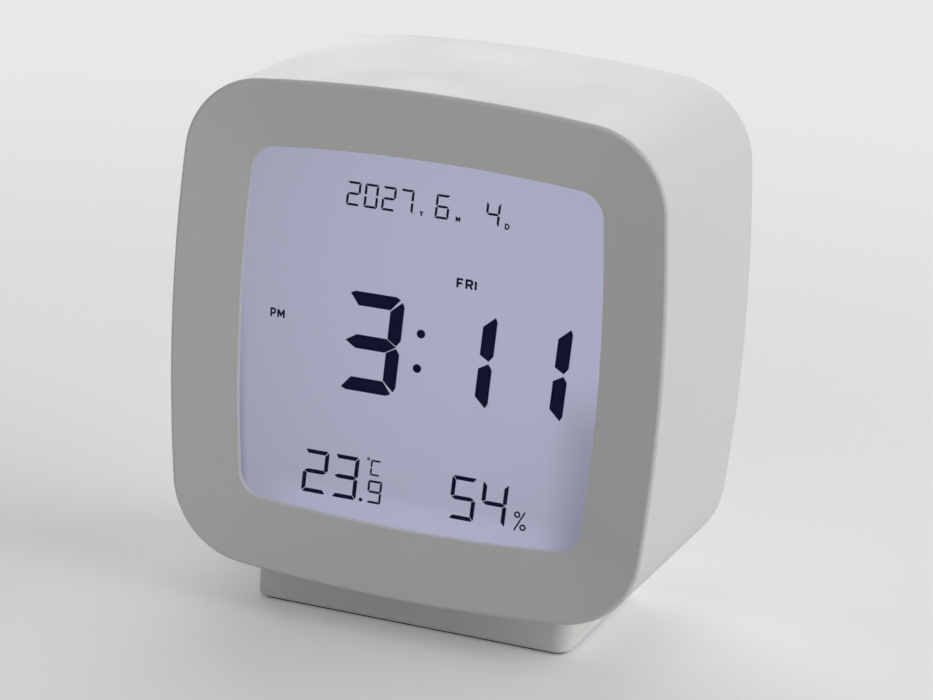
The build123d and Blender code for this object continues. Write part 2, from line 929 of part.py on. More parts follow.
with BuildPart() as zebra_strip:
    ledge_bottom = -glass_side / 2 - glass_ledge
    with BuildSketch(at_depth(crystal_front)):
        with Locations((0, ledge_bottom + zebra_inset + zebra_height / 2)):
            Rectangle(glass_side - 2 * zebra_end_gap, zebra_height)
    extrude(amount=board_front - crystal_front, dir=rearward)

# Main board and what is soldered to it
with BuildPart() as main_board:
    board_width = 2 * (board_screw_x + board_side_margin)
    with BuildSketch(at_depth(board_front)):
        with Locations((0, ledge_bottom - board_foot_margin + board_height / 2)):
            RectangleRounded(board_width, board_height, board_radius)
        with Locations(*board_screws):
            Circle(small_shank_radius + screw_gap, mode=Mode.SUBTRACT)
    extrude(amount=board_thickness, dir=rearward)


def facing_back(depth):
    """Plane parallel to the face that looks backwards; its second axis points down."""
    return Plane(origin=(0, depth - body_depth / 2, face_height), x_dir=(1, 0, 0), z_dir=rearward)


main_board_screws = pan_screw(
    facing_back(board_back),
    board_screws,
    small_head_radius,
    small_head_height,
    small_shank_radius,
    board_screw_length,
)

with BuildPart() as controller:
    with BuildSketch(at_depth(board_back)):
        with Locations((chip_x, chip_z)):
            Circle(chip_radius)
    extrude(amount=chip_height, dir=rearward)
    fillet(controller.faces().sort_by(Axis.Y)[-1].edges(), chip_height / 2)

with BuildPart() as clock_crystal:
    crystal_seat = Plane(
        origin=(crystal_x, board_back + crystal_radius - body_depth / 2, face_height + crystal_z),
        z_dir=(1, 0, 0),
    )
    with BuildSketch(crystal_seat):
        Circle(crystal_radius)
    extrude(amount=crystal_length)

with BuildPart() as board_capacitors:
    with BuildSketch(at_depth(board_back)):
        with Locations((capacitor_x, capacitor_z)):
            with GridLocations(capacitor_spacing, 0, 2, 1):
                Circle(capacitor_radius)
    extrude(amount=capacitor_height, dir=rearward)
    fillet(board_capacitors.faces().group_by(Axis.Y)[-1].edges(), capacitor_radius / 4)

# Plugs on the main board: place on the face and number of pins
press_board_middle = press_board_bottom + press_board_thickness / 2
press_plug_z = press_board_middle - face_height
plugs = [
    (battery_plug_x, battery_plug_z, battery_lead_count),
    (button_plug_x, button_plug_z, button_lead_count),
    (sensor_plug_x, sensor_plug_z, sensor_lead_count),
    (0, press_plug_z, press_lead_count),
]

with BuildPart() as board_plugs:
    for x, z, pins in plugs:
        with BuildSketch(at_depth(board_back)):
            with Locations((x, z)):
                Rectangle(pins * lead_spacing + connector_margin, connector_height)
        extrude(amount=connector_depth, dir=rearward)
plug_back = board_back + connector_depth

# Rear cover with the battery compartment moulded in
pocket_length = cell_length + contact_room
pocket_height = 4 * cell_radius + 3 * cell_clearance
cell_pitch = 2 * cell_radius + cell_clearance
door_plate = door_seat_depth - door_gap
cell_depth = cover_back - door_plate - cell_clearance - cell_radius
pocket_floor = cell_depth - cell_radius - cell_clearance
pocket_front = pocket_floor - pocket_wall
seat_length = pocket_length + 2 * door_margin
seat_height = pocket_height + 2 * door_margin
door_axis_depth = cover_back - door_plate / 2
door_axis_z = pocket_middle - seat_height / 2 + door_gap + door_plate / 2
button_proud = button_travel + button_pressed_proud
flange_front = cover_front - flange_gap - flange_thickness
button_switch_back = flange_front - stem_length - plunger_proud
button_board_back = button_switch_back - switch_height
button_board_front = button_board_back - button_board_thickness
sensor_board_back = cover_front - sensor_post_length
sensor_board_front = sensor_board_back - sensor_board_thickness
button_bosses = [(-button_boss_x, button_row), (button_boss_x, button_row)]
sensor_posts = [(-sensor_post_x, vent_row), (sensor_post_x, vent_row)]
tail_x = pocket_length / 2 - contact_thickness / 2
tails = [
    (tail_x, pocket_middle + cell_pitch / 2),
    (tail_x, pocket_middle - cell_pitch / 2),
]

with BuildPart() as rear_cover:
    extrude(
        body_outline(at_depth(cover_front), rear_opening_inset + cover_gap),
        amount=cover_thickness,
        dir=rearward,
    )
    with BuildSketch(at_depth(cover_front)):
        with Locations((0, pocket_middle)):
            Rectangle(pocket_length + 2 * pocket_wall, pocket_height + 2 * pocket_wall)
    extrude(amount=cover_front - pocket_front, dir=forward)
    with BuildSketch(at_depth(cover_front)):
        with Locations(*button_bosses):
            Circle(button_boss_radius)
    extrude(amount=cover_front - button_board_back, dir=forward)
    with BuildSketch(at_depth(cover_front)):
        with Locations(*sensor_posts):
            Circle(sensor_post_radius)
    extrude(amount=sensor_post_length, dir=forward)
    with BuildSketch(at_depth(sensor_board_back)):
        with Locations(*sensor_posts):
            Circle(sensor_pin_radius)
    extrude(amount=sensor_board_thickness, dir=forward)
    with BuildSketch(at_depth(pocket_floor)):
        with Locations((0, pocket_middle)):
            Rectangle(pocket_length, pocket_height)
    extrude(amount=cover_back - pocket_floor + cut_overrun, dir=rearward, mode=Mode.SUBTRACT)
    with BuildSketch(at_depth(cover_back - door_seat_depth)):
        with Locations((0, pocket_middle)):
            Rectangle(seat_length, seat_height)
    extrude(amount=door_seat_depth + cut_overrun, dir=rearward, mode=Mode.SUBTRACT)
    with BuildSketch(at_depth(cover_back - door_plate / 2)):
        with Locations((0, pocket_middle + seat_height / 2)):
            Rectangle(nail_notch_width, nail_notch_height)
    extrude(amount=door_plate, dir=rearward, mode=Mode.SUBTRACT)
    with BuildSketch(at_depth(pocket_front)):
        with Locations(*tails):
            Rectangle(contact_thickness + 2 * tail_gap, tail_width + 2 * tail_gap)
    extrude(amount=pocket_wall, dir=rearward, mode=Mode.SUBTRACT)
    with BuildSketch(Plane.YZ):
        with Locations((door_axis_depth - body_depth / 2, face_height + door_axis_z)):
            Circle(pin_radius + pin_gap)
    extrude(amount=seat_length / 2 + pin_length, both=True, mode=Mode.SUBTRACT)
    with BuildSketch(at_depth(cover_front - cut_overrun)):
        with Locations((0, button_row)):
            with GridLocations(button_pitch, 0, button_count, 1):
                SlotOverall(button_length + 2 * button_gap, button_height + 2 * button_gap)
        with Locations((0, vent_row)):
            with GridLocations(vent_pitch, 0, vent_count, 1):
                SlotOverall(vent_height, vent_width, rotation=90)
        with Locations(*cover_screws):
            Circle(cover_shank_radius + cover_gap)
    extrude(amount=cover_thickness + 2 * cut_overrun, dir=rearward, mode=Mode.SUBTRACT)
    with BuildSketch(at_depth(cover_back - cover_head_depth)):
        with Locations(*cover_screws):
            Circle(cover_head_radius + cover_gap)
    extrude(amount=cover_head_depth, dir=rearward, mode=Mode.SUBTRACT)
    with BuildSketch(at_depth(button_board_back)):
        with Locations(*button_bosses):
            Circle(small_shank_radius + screw_gap)
    extrude(amount=button_screw_length, dir=rearward, mode=Mode.SUBTRACT)

cover_head_seat = cover_back - cover_head_depth
rear_cover_screws = pan_screw(
    facing_back(cover_head_seat),
    cover_screws,
    cover_head_radius,
    cover_head_depth - cover_gap,
    cover_shank_radius,
    cover_screw_length,
)

# Battery door: turns about two pins at its bottom edge
with BuildPart() as battery_door:
    door_top = pocket_middle + seat_height / 2 - door_gap
    door_width = seat_length - 2 * door_gap
    with BuildSketch(at_depth(cover_back - door_plate)):
        with Locations((0, (door_top + door_axis_z) / 2)):
            Rectangle(door_width, door_top - door_axis_z)
    extrude(amount=door_plate, dir=rearward)
    with BuildSketch(Plane.YZ):
        with Locations((door_axis_depth - body_depth / 2, face_height + door_axis_z)):
            Circle(door_plate / 2)
    extrude(amount=door_width / 2, both=True)
    with BuildSketch(Plane.YZ):
        with Locations((door_axis_depth - body_depth / 2, face_height + door_axis_z)):
            Circle(pin_radius)
    extrude(amount=seat_length / 2 + pin_length - pin_gap, both=True)
    with BuildSketch(at_depth(cover_back - groove_depth)):
        with Locations((0, door_top - nail_notch_height - groove_count * groove_pitch / 2)):
            with GridLocations(0, groove_pitch, 1, groove_count):
                SlotOverall(groove_length, groove_width)
    extrude(amount=door_plate, dir=rearward, mode=Mode.SUBTRACT)


# Batteries: each lies along X, its nub towards one end
def battery(direction, height):
    """An AAA cell whose nub points along X in a direction of 1 or -1."""
    tip = direction * (pocket_length / 2 - contact_thickness - dimple_height)
    start = tip - direction * cell_length
    seat = Plane(
        origin=(start, cell_depth - body_depth / 2, face_height + height),
        x_dir=(0, 1, 0),
        z_dir=(direction, 0, 0),
    )
    with BuildPart() as cell:
        with BuildSketch(seat):
            Circle(cell_radius)
        extrude(amount=cell_length - nub_length)
        fillet(cell.edges().filter_by(GeomType.CIRCLE), cell_edge_radius)
        with BuildSketch(seat.offset(cell_length - nub_length)):
            Circle(nub_radius)
        extrude(amount=nub_length)
    return cell.part


upper_cell_z = pocket_middle + cell_pitch / 2
lower_cell_z = pocket_middle - cell_pitch / 2
cell_upper = battery(1, upper_cell_z)
cell_lower = battery(-1, lower_cell_z)
coil_height = pocket_length - 2 * contact_thickness - dimple_height - cell_length - screw_gap


def contact_plate(direction, heights, tail):
    """Stamped plate at one end of the compartment, with a tail through its floor."""
    end = direction * pocket_length / 2
    reach_middle = pocket_floor + tail_gap + contact_reach / 2 - body_depth / 2
    middle = sum(heights) / len(heights)
    tall = max(heights) - min(heights) + contact_width
    seat = Plane(
        origin=(end, reach_middle, face_height + middle),
        x_dir=(0, 1, 0),
        z_dir=(-direction, 0, 0),
    )
    with BuildPart() as plate:
        with BuildSketch(seat):
            Rectangle(contact_reach, tall)
        extrude(amount=contact_thickness)
        if tail:
            out = contact_reach / 2 + tail_gap + pocket_wall + tail_out
            with BuildSketch(seat):
                with Locations((-out / 2, 0)):
                    Rectangle(out, tail_width)
            extrude(amount=contact_thickness)
    return plate.part


def contact_seat(direction, height):
    """Plane on a contact plate's inner face, opposite a cell's axis."""
    return Plane(
        origin=(
            direction * (pocket_length / 2 - contact_thickness),
            cell_depth - body_depth / 2,
            face_height + height,
        ),
        x_dir=(0, 1, 0),
        z_dir=(-direction, 0, 0),
    )


def dimple(direction, height):
    """Pressed nose that meets a cell's nub."""
    with BuildPart() as nose:
        with BuildSketch(contact_seat(direction, height)):
            Circle(dimple_radius)
        extrude(amount=dimple_height, taper=dimple_taper)
    return nose.part


def contact_coil(direction, height):
    """Coil that presses on a cell's flat end."""
    seat = contact_seat(direction, height).offset(screw_gap)
    spring_height = coil_height - screw_gap
    return coil_spring(seat, contact_coil_radius, contact_wire_radius, spring_height, contact_turns)


with BuildPart() as positive_contact:
    add(contact_plate(1, [upper_cell_z], True))
    add(dimple(1, upper_cell_z))

with BuildPart() as negative_contact:
    add(contact_plate(1, [lower_cell_z], True))
    add(contact_coil(1, lower_cell_z))

with BuildPart() as bridge_contact:
    add(contact_plate(-1, [upper_cell_z, lower_cell_z], False))
    add(dimple(-1, lower_cell_z))
    add(contact_coil(-1, upper_cell_z))


# Buttons: a cap with a flange behind the cover, and the switch plunger that it works
def button_cap(x, bars):
    """A pill shaped cap with an engraved mark of none, one or two bars."""
    with BuildPart() as cap:
        with BuildSketch(at_depth(cover_front - flange_gap)):
            with Locations((x, button_row)):
                SlotOverall(button_length, button_height)
        extrude(amount=cover_thickness + flange_gap + button_proud, dir=rearward)
        fillet(cap.faces().sort_by(Axis.Y)[-1].edges(), button_edge_radius)
        with BuildSketch(at_depth(flange_front)):
            with Locations((x, button_row)):
                SlotOverall(button_length + 2 * flange_margin, button_height + 2 * flange_margin)
        extrude(amount=flange_thickness, dir=rearward)
        with BuildSketch(at_depth(flange_front)):
            with Locations((x, button_row)):
                Circle(stem_radius)
        extrude(amount=stem_length, dir=forward)
        with BuildSketch(at_depth(cover_back + button_proud - button_mark_depth)):
            with Locations((x, button_row)):
                if bars:
                    Rectangle(button_mark_length, button_mark_width)
                if bars == 2:
                    Rectangle(button_mark_width, button_mark_length)
                if not bars:
                    Circle(button_mark_width)
        extrude(amount=button_mark_depth, dir=rearward, mode=Mode.SUBTRACT)
    return cap.part


def button_plunger(x):
    """The nose of a tactile switch, against the cap's stem."""
    with BuildPart() as nose:
        with BuildSketch(at_depth(flange_front - stem_length)):
            with Locations((x, button_row)):
                Circle(plunger_radius)
        extrude(amount=plunger_proud + plunger_root, dir=forward)
    return nose.part


button_places = {"up": -button_pitch, "set": 0, "down": button_pitch}
button_bars = {"up": 2, "set": 0, "down": 1}

with BuildPart() as button_board:
    with BuildSketch(at_depth(button_board_front)):
        with Locations((0, button_row)):
            Rectangle(button_board_width, button_board_height)
        with Locations(*button_bosses):
            Circle(small_shank_radius + screw_gap, mode=Mode.SUBTRACT)
    extrude(amount=button_board_thickness, dir=rearward)

with BuildPart() as button_switches:
    with BuildSketch(at_depth(button_board_back)):
        with Locations((0, button_row)):
            with GridLocations(button_pitch, 0, button_count, 1):
                Rectangle(switch_side, switch_side)
    extrude(amount=switch_height, dir=rearward)
    with BuildSketch(at_depth(button_switch_back)):
        with Locations((0, button_row)):
            with GridLocations(button_pitch, 0, button_count, 1):
                Circle(plunger_radius + plunger_gap)
    extrude(amount=plunger_bore, dir=forward, mode=Mode.SUBTRACT)

button_board_screws = pan_screw(
    at_depth(button_board_front),
    button_bosses,
    small_head_radius,
    small_head_height,
    small_shank_radius,
    button_screw_length,
)

# Sensor board, held on two pins of the cover in front of the vents
with BuildPart() as sensor_board:
    with BuildSketch(at_depth(sensor_board_front)):
        with Locations((0, vent_row)):
            Rectangle(sensor_board_width, sensor_board_height)
        with Locations(*sensor_posts):
            Circle(sensor_pin_radius + sensor_pin_gap, mode=Mode.SUBTRACT)
    extrude(amount=sensor_board_thickness, dir=rearward)

with BuildPart() as climate_sensor:
    with BuildSketch(at_depth(sensor_board_back)):
        with Locations((0, vent_row)):
            Rectangle(sensor_chip_side, sensor_chip_side)
    extrude(amount=sensor_chip_height, dir=rearward)


# Leads: straight out of a plug, across, and straight on to where they are soldered
def lead_point(x, depth, z):
    """A point of a lead's run, from its place on the face and its depth."""
    return (x, depth - body_depth / 2, face_height + z)


def crossing_lead(start, turn_depth, end):
    """A lead from a plug to an end, both (x, depth, z), turning at one depth."""
    points = [
        lead_point(*start),
        lead_point(start[0], turn_depth, start[2]),
        lead_point(end[0], turn_depth, end[2]),
        lead_point(*end),
    ]
    return lead(points, lead_bend)


def row_places(middle, count):
    """Places of a row of leads about its middle."""
    return [middle + (place - (count - 1) / 2) * lead_spacing for place in range(count)]


tail_end = pocket_front - tail_out
battery_turn_depth = plug_back + lead_turn_share * (tail_end - plug_back)
with BuildPart() as battery_leads:
    for start_x, (end_x, end_z) in zip(reversed(row_places(battery_plug_x, battery_lead_count)), tails):
        start = (start_x, plug_back, battery_plug_z)
        add(crossing_lead(start, battery_turn_depth, (end_x, tail_end, end_z)))

button_turn_depth = plug_back + lead_turn_share * (button_board_front - plug_back)
sensor_turn_depth = base_middle_depth + press_board_depth / 2 + sensor_lead_gap
with BuildPart() as signal_leads:
    for x in row_places(button_plug_x, button_lead_count):
        start = (x, plug_back, button_plug_z)
        add(crossing_lead(start, button_turn_depth, (x, button_board_front, button_row)))
    for x in row_places(sensor_plug_x, sensor_lead_count):
        start = (x, plug_back, sensor_plug_z)
        add(crossing_lead(start, sensor_turn_depth, (x, sensor_board_front, vent_row)))
    for x in row_places(0, press_lead_count):
        near_edge = base_middle_depth - press_board_depth / 2
        with BuildSketch(at_depth(plug_back)):
            with Locations((x, press_plug_z)):
                Circle(lead_radius)
        extrude(amount=near_edge - plug_back, dir=rearward)

pieces = {
    "base": base.part,
    "base_pad": base_pad.part,
    "base_washers": base_washers.part,
    "base_screws": base_screws,
    "press_springs": press_springs.part,
    "press_plunger": press_plunger.part,
    "front_housing": front_housing.part,
    "guide_plate": guide_plate.part,
    "guide_plate_screws": guide_plate_screws,
    "press_board": press_board.part,
    "press_switch": press_switch.part,
    "press_board_screws": press_board_screws,
    "display_lens": display_lens.part,
    "lens_tape": lens_tape.part,
    "front_polariser": front_polariser.part,
    "front_glass": front_glass.part,
    "edge_seal": edge_seal.part,
    "time_marks": time_marks.part,
    "date_marks": date_marks.part,
    "climate_marks": climate_marks.part,
    "word_marks": word_marks.part,
    "rear_glass": rear_glass.part,
    "rear_polariser": rear_polariser.part,
    "backlight_frame": backlight_frame.part,
    "diffuser_film": diffuser_film.part,
    "light_guide": light_guide.part,
    "reflector_film": reflector_film.part,
    "backlight_lamps": backlight_lamps.part,
    "lamp_strip": lamp_strip.part,
    "zebra_strip": zebra_strip.part,
    "main_board": main_board.part,
    "main_board_screws": main_board_screws,
    "controller": controller.part,
    "clock_crystal": clock_crystal.part,
    "board_capacitors": board_capacitors.part,
    "board_plugs": board_plugs.part,
    "rear_cover": rear_cover.part,
    "rear_cover_screws": rear_cover_screws,
    "battery_door": battery_door.part,
    "cell_upper": cell_upper,
    "cell_lower": cell_lower,
    "positive_contact": positive_contact.part,
    "negative_contact": negative_contact.part,
    "bridge_contact": bridge_contact.part,
    "button_board": button_board.part,
    "button_switches": button_switches.part,
    "button_board_screws": button_board_screws,
    "sensor_board": sensor_board.part,
    "climate_sensor": climate_sensor.part,
    "battery_leads": battery_leads.part,
    "signal_leads": signal_leads.part,
}
for name, x in button_places.items():
    pieces[name + "_button"] = button_cap(x, button_bars[name])
    pieces[name + "_plunger"] = button_plunger(x)

os.makedirs("parts", exist_ok=True)
for name, piece in pieces.items():
    piece.label = name
    export_step(piece, "parts/" + name + ".step")
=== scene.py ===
import json
import math

import bpy
from mathutils import Matrix, Vector

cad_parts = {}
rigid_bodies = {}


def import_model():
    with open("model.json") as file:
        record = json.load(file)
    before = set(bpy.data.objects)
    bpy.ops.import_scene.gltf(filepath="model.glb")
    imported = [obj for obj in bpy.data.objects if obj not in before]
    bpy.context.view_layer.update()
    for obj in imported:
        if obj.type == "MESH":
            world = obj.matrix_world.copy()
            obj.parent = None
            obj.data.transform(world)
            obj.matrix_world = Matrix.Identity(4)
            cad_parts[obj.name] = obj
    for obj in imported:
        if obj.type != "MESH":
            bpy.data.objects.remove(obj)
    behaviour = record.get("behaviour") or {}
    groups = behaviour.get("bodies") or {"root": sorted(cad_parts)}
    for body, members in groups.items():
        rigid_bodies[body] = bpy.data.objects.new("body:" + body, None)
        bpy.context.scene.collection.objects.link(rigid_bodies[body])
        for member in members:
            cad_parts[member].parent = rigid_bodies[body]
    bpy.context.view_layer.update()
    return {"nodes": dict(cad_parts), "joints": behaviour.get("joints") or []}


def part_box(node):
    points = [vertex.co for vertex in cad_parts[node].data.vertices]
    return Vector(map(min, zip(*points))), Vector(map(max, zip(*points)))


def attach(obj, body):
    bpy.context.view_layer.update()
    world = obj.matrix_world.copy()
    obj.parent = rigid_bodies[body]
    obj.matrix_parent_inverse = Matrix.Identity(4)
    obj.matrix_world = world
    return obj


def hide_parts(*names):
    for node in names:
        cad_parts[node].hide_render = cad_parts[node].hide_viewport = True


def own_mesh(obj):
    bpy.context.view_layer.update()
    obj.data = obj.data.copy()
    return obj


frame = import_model()

MM = 0.001

# Camera, as solved from the photograph: 933 by 700 pixels, sizes in metres and degrees
FRAME_WIDTH_PX = 933
FOCAL_PX = 3200.5
SENSOR_WIDTH_MM = 36.0
CAMERA_AZIMUTH = 20.13
CAMERA_ELEVATION = 16.35
CAMERA_ROLL = 3.55
CAMERA_DISTANCE = 488.57 * MM
CAMERA_TARGET = Vector((9.28, -23.0, 49.21)) * MM
NEAREST_SEEN = 10 * MM
FARTHEST_SEEN = 50.0

# Room: FLOOR_FADE is the reach, from the clock's middle, over which the floor turns into the backdrop
FLOOR_HALF = 3.0
FLOOR_COLOUR = (0.92, 0.92, 0.92)
FLOOR_DRIFT = 0.01
FLOOR_LIFT = 0.12
FLOOR_BOUNCE_COLOUR = (0.70, 0.70, 0.69)
FLOOR_FADE = (0.12, 0.50)
BACKDROP_COLOUR = (0.81, 0.81, 0.81)
AMBIENT = 0.165

# Lamps: place, width in metres and power in watts, all aimed at the middle of the clock
AIM = Vector((0.0, 0.0, 0.045))
LAMPS = {
    "top_lamp": (Vector((-0.15, -0.25, 1.60)), 1.4, 1.4),
    "side_lamp": (Vector((1.70, 0.25, 0.75)), 2.2, 24.0),
    "back_lamp": (Vector((-0.60, 1.60, 0.80)), 1.8, 21.0),
    "front_lamp": (Vector((0.20, -1.80, 1.20)), 1.2, 2.4),
}

# Noise patterns: features per metre and octaves, and the middle range of their values
BROAD_NOISE = (60.0, 3.0)
SMEAR_NOISE = (40.0, 4.0)
CLOUD_NOISE = (25.0, 2.0)
JACKET_NOISE = (300.0, 3.0)
FLOOR_NOISE = (8.0, 3.0)
GRAIN_SCALE = 4000.0
GRAIN_OCTAVES = 2.0
NOISE_MIDDLE = (0.3, 0.7)

# Surfaces: how far colour and gloss drift, as shares, and the fine grain's depth and strength
COLOUR_DRIFT = 0.02
GLOSS_DRIFT = 0.1
CLEAR_GLOSS_DRIFT = 0.3
GRAIN_DEPTH = 0.02 * MM
GRAIN_STRENGTH = 0.3
COVER_GRAIN = {"depth": 0.04 * MM, "strength": 0.5}

# Colours, linear
WHITE = (1.0, 1.0, 1.0)
WHITE_PLASTIC = (0.80, 0.80, 0.795)
SCREW_STEEL = (0.55, 0.55, 0.54)
# Painted shade for the cross recesses of the rear cover's screws
RECESS_SHADE = (0.10, 0.10, 0.10)
INK_GLOW = (0.004, 0.004, 0.024)
DISPLAY_GLOW = (0.430, 0.440, 0.575)

# Finishes of the record's slots
FINISHES = {
    # Casing
    "housing_plastic": {"colour": WHITE_PLASTIC, "roughness": 0.55},
    "cover_plastic": {"colour": WHITE_PLASTIC, "roughness": 0.55, **COVER_GRAIN},
    "door_plastic": {"colour": WHITE_PLASTIC, "roughness": 0.55, **COVER_GRAIN},
    "button_plastic": {"colour": WHITE_PLASTIC, "roughness": 0.40},
    # Lighter than the housing's plastic: painted light standing in for bounce light on the foot
    "base_plastic": {"colour": (0.86, 0.855, 0.84), "roughness": 0.50},
    "plate_plastic": {"colour": WHITE_PLASTIC, "roughness": 0.50},
    "pad_rubber": {
        "colour": (0.03, 0.03, 0.03), "roughness": 0.85, "change": 0.15, "fine": 2500.0, "depth": 0.08 * MM,
    },
    "screw_steel": {"colour": SCREW_STEEL, "roughness": 0.30, "metallic": 1.0, "change": 0.06},
    "spring_steel": {"colour": (0.50, 0.50, 0.50), "roughness": 0.28, "metallic": 1.0, "change": 0.06},
    "contact_metal": {"colour": (0.66, 0.65, 0.60), "roughness": 0.25, "metallic": 1.0, "change": 0.06},
    # Display
    "display_ink": {"colour": (0.012, 0.012, 0.03), "roughness": 0.35, "change": 0.2},
    "tape_black": {"colour": (0.02, 0.02, 0.02), "roughness": 0.6, "change": 0.1},
    "frame_plastic": {"colour": (0.82, 0.82, 0.82), "roughness": 0.35},
    "diffuser_sheet": {"colour": (0.60, 0.62, 0.75), "roughness": 0.4},
    "guide_acrylic": {"colour": (0.70, 0.74, 0.85), "roughness": 0.12},
    "reflector_sheet": {"colour": (0.85, 0.85, 0.87), "roughness": 0.15, "metallic": 1.0},
    "lamp_resin": {"colour": (0.80, 0.74, 0.35), "roughness": 0.35},
    "strip_amber": {"colour": (0.40, 0.20, 0.04), "roughness": 0.30, "change": 0.08},
    "zebra_rubber": {"colour": (0.55, 0.25, 0.28), "roughness": 0.6, "change": 0.08},
    # Boards and parts on them
    "board_green": {"colour": (0.010, 0.095, 0.035), "roughness": 0.28, "change": 0.12},
    "chip_resin": {"colour": (0.010, 0.010, 0.010), "roughness": 0.25, "change": 0.2},
    "crystal_can": {"colour": (0.62, 0.62, 0.62), "roughness": 0.22, "metallic": 1.0},
    "capacitor_can": {"colour": (0.03, 0.04, 0.09), "roughness": 0.35, "change": 0.1},
    "plug_plastic": {"colour": (0.70, 0.67, 0.56), "roughness": 0.45},
    "switch_body": {"colour": (0.015, 0.015, 0.015), "roughness": 0.5, "change": 0.15},
    "plunger_plastic": {"colour": (0.12, 0.045, 0.012), "roughness": 0.45, "change": 0.08},
    "sensor_case": {"colour": (0.012, 0.012, 0.012), "roughness": 0.5, "change": 0.15},
    "lead_insulation": {"colour": (0.30, 0.008, 0.006), "roughness": 0.4, "change": 0.06},
    "signal_insulation": {"colour": (0.58, 0.58, 0.55), "roughness": 0.4, "change": 0.04},
}

# Clear sheets: gloss is how far their index of refraction stands above that of air
CLEAR_FINISHES = {
    "lens_plastic": {"colour": (0.99, 0.99, 0.99), "roughness": 0.10, "gloss": 0.15},
    "polariser_film": {"colour": (0.985, 0.985, 0.99), "roughness": 0.15, "gloss": 0.03},
    "cell_glass": {"colour": (0.985, 0.99, 0.99), "roughness": 0.05, "gloss": 0.03},
    "seal_resin": {"colour": (0.93, 0.94, 0.96), "roughness": 0.30, "gloss": 0.03},
}

# Screws of the rear cover: depths between which painted shade darkens their cross recesses
RECESS_TOP = 0.45 * MM
RECESS_FLOOR = 0.58 * MM

# Battery cells: metal at both ends, a band of colour near the nub (shares of a cell's length)
CELL_END_SHARE = 0.008
CELL_NUB_SHARE = 0.026
CELL_BAND_SHARE = 0.24
CELL_METAL = (0.62, 0.61, 0.58)
CELL_JACKET = (0.10, 0.11, 0.13)
CELL_BAND = (0.03, 0.16, 0.34)
CELL_METAL_DRIFT = 0.05
CELL_PRINT_DRIFT = 0.08
CELL_ROUGHNESS = (0.24, 0.34)
CELL_GRAIN_STRENGTH = 0.2

# Display light: the brightest place, in halves of the display, and how it falls off.
# Each border is a pair of places, in halves of the display, between which a change sets in.
GLOW_MIDDLE = (0.4, 0.3)
GLOW_FALL = 0.06
GLOW_DRIFT = 0.01
GLOW_CORNER_FALL = 0.12
GLOW_RIGHT_FALL = 0.24
GLOW_RIGHT_BORDER = (0.65, 0.90)
GLOW_RIGHT_BELOW = (0.0, 0.40)
GLOW_FOOT_RISE = 0.11
GLOW_FOOT_BORDER = (0.78, 0.90)
GLOW_FOOT_ENDS = (0.90, 0.60)
# Painted shadow along the display's left edge: its depth, the border where it sets in, how far down it
# grows and its bow
LEFT_SHADOW_FALL = 0.24
LEFT_SHADOW_BORDER = (0.935, 0.985)
LEFT_SHADOW_BELOW = (0.40, -0.80)
LEFT_SHADOW_BOW = 0.045


# Material building
def tree_of(slot):
    """The emptied node tree of a slot's material."""
    material = bpy.data.materials[slot]
    material.use_nodes = True
    material.node_tree.nodes.clear()
    return material.node_tree


def new_node(tree, kind, **values):
    """A node with its named inputs or properties set."""
    node = tree.nodes.new(kind)
    for name, value in values.items():
        if hasattr(node, name) and name not in node.inputs:
            setattr(node, name, value)
        else:
            node.inputs[name.replace("_", " ")].default_value = value
    return node


def surface(tree, shader):
    """Ends a tree in its output."""
    output = tree.nodes.new("ShaderNodeOutputMaterial")
    tree.links.new(shader.outputs[0], output.inputs["Surface"])


def principled(tree):
    """The main shader of a tree."""
    return next(node for node in tree.nodes if node.type == "BSDF_PRINCIPLED")


def math_node(tree, operation, *inputs):
    """A math node fed by numbers or by other nodes' outputs."""
    node = tree.nodes.new("ShaderNodeMath")
    node.operation = operation
    for socket, value in zip(node.inputs, inputs):
        if isinstance(value, (int, float)):
            socket.default_value = value
        else:
            tree.links.new(value, socket)
    return node.outputs[0]


def color_mix(tree, factor, a, b):
    """Blends from colour a to colour b; each is a constant or another node's output."""
    node = tree.nodes.new("ShaderNodeMix")
    node.data_type = "RGBA"
    tree.links.new(factor, node.inputs["Factor"])
    for name, value in (("A", a), ("B", b)):
        if isinstance(value, tuple):
            node.inputs[name].default_value = (*value, 1)
        else:
            tree.links.new(value, node.inputs[name])
    return node.outputs["Result"]


def shader_mix(tree, factor, a, b):
    """Blends from shader a to shader b."""
    node = tree.nodes.new("ShaderNodeMixShader")
    for socket, source in zip(node.inputs, (factor, a.outputs[0], b.outputs[0])):
        tree.links.new(source, socket)
    return node


def object_place(tree):
    """The place on the object, in its own coordinates."""
    return tree.nodes.new("ShaderNodeTexCoord").outputs["Object"]


def object_axes(tree):
    """The object's own X, Y and Z as three outputs."""
    axes = tree.nodes.new("ShaderNodeSeparateXYZ")
    tree.links.new(object_place(tree), axes.inputs[0])
    return axes.outputs


def noise(tree, scale, octaves):
    """Noise over the object's own coordinates, in features per metre."""
    pattern = new_node(tree, "ShaderNodeTexNoise", Scale=scale, Detail=octaves)
    tree.links.new(object_place(tree), pattern.inputs["Vector"])
    return pattern.outputs["Fac"]


def spread(tree, value, start, end, low, high, interpolation="LINEAR"):
    """Maps the range from start to end onto the range from low to high."""
    node = new_node(tree, "ShaderNodeMapRange", interpolation_type=interpolation)
    for name, limit in (("From Min", start), ("From Max", end), ("To Min", low), ("To Max", high)):
        node.inputs[name].default_value = limit
    tree.links.new(value, node.inputs["Value"])
    return node.outputs["Result"]


def ramp(tree, value, start, end):
    """Rises smoothly from 0 to 1 between two values."""
    return spread(tree, value, start, end, 0, 1, "SMOOTHSTEP")


def tint(tree, pattern, colour, change):
    """A colour that drifts a little with a pattern."""
    darker = tuple(c * (1 - change) for c in colour)
    lighter = tuple(min(1, c * (1 + change)) for c in colour)
    return color_mix(tree, pattern, darker, lighter)


